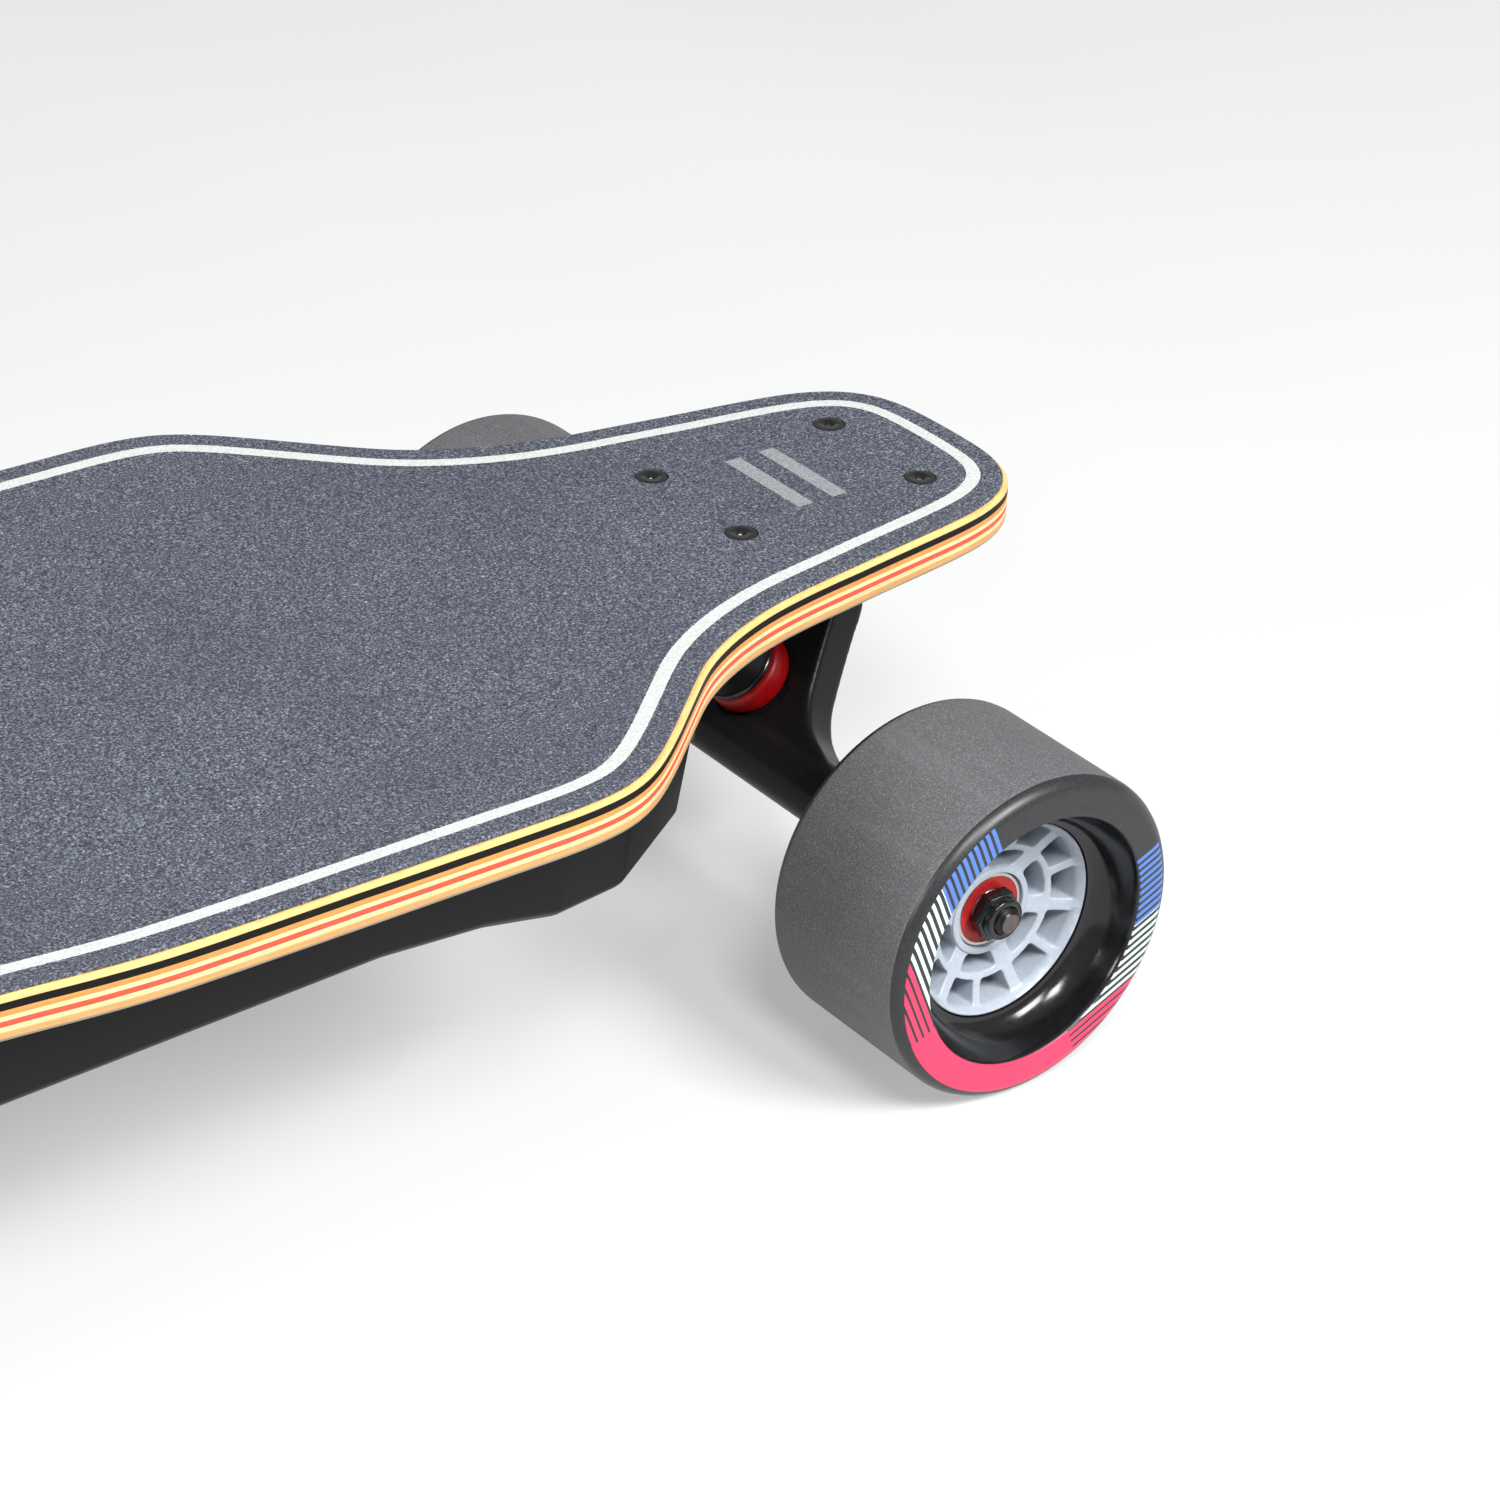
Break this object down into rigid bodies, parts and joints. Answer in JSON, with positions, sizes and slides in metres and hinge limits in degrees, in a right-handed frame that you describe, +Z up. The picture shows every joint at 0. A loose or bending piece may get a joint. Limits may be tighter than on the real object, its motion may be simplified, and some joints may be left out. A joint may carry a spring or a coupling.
{
  "type": "electric skateboard",
  "caption": "Electric longboard skateboard with a necked top-mount ply deck, two kingpin trucks, rolling front wheels, rear hub motors and a battery enclosure under the deck.",
  "frame": {"origin": "on the ground under the middle of the deck", "axes": "+X to the nose, +Y to the rider's left, +Z up"},
  "size_m": [0.965, 0.268, 0.1274],
  "materials": {
    "maple_ply": "clear-sealed maple ply edge with coloured layers",
    "grip_tape": "gritty dark blue-grey grip with fine sparkle",
    "charcoal_plastic": "satin moulded plastic",
    "seal_rubber": "matt rubber",
    "battery_wrap": "heat-shrink wrap",
    "controller_alloy": "finned alloy",
    "satin_black": "satin black coated alloy",
    "black_steel": "black oxide",
    "bright_steel": "ground steel",
    "axle_steel": "oiled steel",
    "red_urethane": "cast red urethane",
    "tread": "fine-matt dark urethane",
    "core_grey": "moulded glass-filled nylon",
    "copper_winding": "enamelled copper"
  },
  "bodies": {
    "deck_body": {"deck": "maple_ply", "grip_tape": "grip_tape", "enclosure_shell": "charcoal_plastic", "enclosure_gasket": "seal_rubber", "battery_pack": "battery_wrap", "speed_controller": "controller_alloy", "charge_port": "seal_rubber", "left_motor_gland": "seal_rubber", "right_motor_gland": "seal_rubber", "front_outer_left_bolt": "black_steel", "front_outer_right_bolt": "black_steel", "front_inner_left_bolt": "black_steel", "front_inner_right_bolt": "black_steel", "rear_outer_left_bolt": "black_steel", "rear_outer_right_bolt": "black_steel", "rear_inner_left_bolt": "black_steel", "rear_inner_right_bolt": "black_steel", "front_riser_pad": "seal_rubber", "front_baseplate": "satin_black", "front_kingpin": "black_steel", "front_kingpin_nut": "black_steel", "front_boardside_bushing": "red_urethane", "front_roadside_bushing": "red_urethane", "front_boardside_washer": "black_steel", "front_roadside_washer": "black_steel", "front_pivot_cup": "red_urethane", "rear_riser_pad": "seal_rubber", "rear_baseplate": "satin_black", "rear_kingpin": "black_steel", "rear_kingpin_nut": "black_steel", "rear_boardside_bushing": "red_urethane", "rear_roadside_bushing": "red_urethane", "rear_boardside_washer": "black_steel", "rear_roadside_washer": "black_steel", "rear_pivot_cup": "red_urethane"},
    "power_button_body": {"power_button": "black_steel"},
    "charge_cap_body": {"charge_port_cap": "seal_rubber"},
    "front_hanger_body": {"front_hanger": "satin_black", "front_axle": "axle_steel", "front_left_axle_nut": "black_steel", "front_right_axle_nut": "black_steel"},
    "rear_hanger_body": {"rear_hanger": "satin_black", "rear_left_motor_stator": "copper_winding", "rear_right_motor_stator": "copper_winding", "rear_left_axle_nut": "black_steel", "rear_right_axle_nut": "black_steel"},
    "front_left_wheel": {"front_left_tyre": "tread", "front_left_core": "core_grey", "front_left_inner_bearing": "bright_steel", "front_left_outer_bearing": "bright_steel"},
    "rear_left_wheel": {"rear_left_tyre": "tread", "rear_left_motor_rotor": "satin_black", "rear_left_motor_cover": "satin_black"},
    "front_right_wheel": {"front_right_tyre": "tread", "front_right_core": "core_grey", "front_right_inner_bearing": "bright_steel", "front_right_outer_bearing": "bright_steel"},
    "rear_right_wheel": {"rear_right_tyre": "tread", "rear_right_motor_rotor": "satin_black", "rear_right_motor_cover": "satin_black"}
  },
  "joints": [
    {"name": "front_steer", "type": "hinge", "parent": "deck_body", "child": "front_hanger_body", "pos_m": [0.41845, 0, 0.06037], "axis": [0.6947, 0, 0.7193], "range_deg": [-16, 16], "stiffness_Nm_per_rad": 60, "deforming": ["front_boardside_bushing", "front_roadside_bushing"]},
    {"name": "rear_steer", "type": "hinge", "parent": "deck_body", "child": "rear_hanger_body", "pos_m": [-0.41845, 0, 0.06037], "axis": [-0.6947, 0, 0.7193], "range_deg": [-16, 16], "stiffness_Nm_per_rad": 60, "deforming": ["rear_boardside_bushing", "rear_roadside_bushing"]},
    {"name": "front_left_spin", "type": "hinge", "parent": "front_hanger_body", "child": "front_left_wheel", "pos_m": [0.4065, 0.1065, 0.048], "axis": [0, 1, 0], "continuous": true},
    {"name": "front_right_spin", "type": "hinge", "parent": "front_hanger_body", "child": "front_right_wheel", "pos_m": [0.4065, -0.1065, 0.048], "axis": [0, 1, 0], "continuous": true},
    {"name": "rear_left_spin", "type": "hinge", "parent": "rear_hanger_body", "child": "rear_left_wheel", "pos_m": [-0.4065, 0.1065, 0.048], "axis": [0, 1, 0], "continuous": true},
    {"name": "rear_right_spin", "type": "hinge", "parent": "rear_hanger_body", "child": "rear_right_wheel", "pos_m": [-0.4065, -0.1065, 0.048], "axis": [0, 1, 0], "continuous": true},
    {"name": "power_press", "type": "slide", "parent": "deck_body", "child": "power_button_body", "axis": [0, -1, 0], "range_m": [0, 0.0012], "stiffness_N_per_m": 800},
    {"name": "charge_cap_hinge", "type": "hinge", "parent": "deck_body", "child": "charge_cap_body", "pos_m": [-0.2573, 0.1029, 0.0975], "axis": [0, 0, 1], "range_deg": [0, 160]}
  ]
}
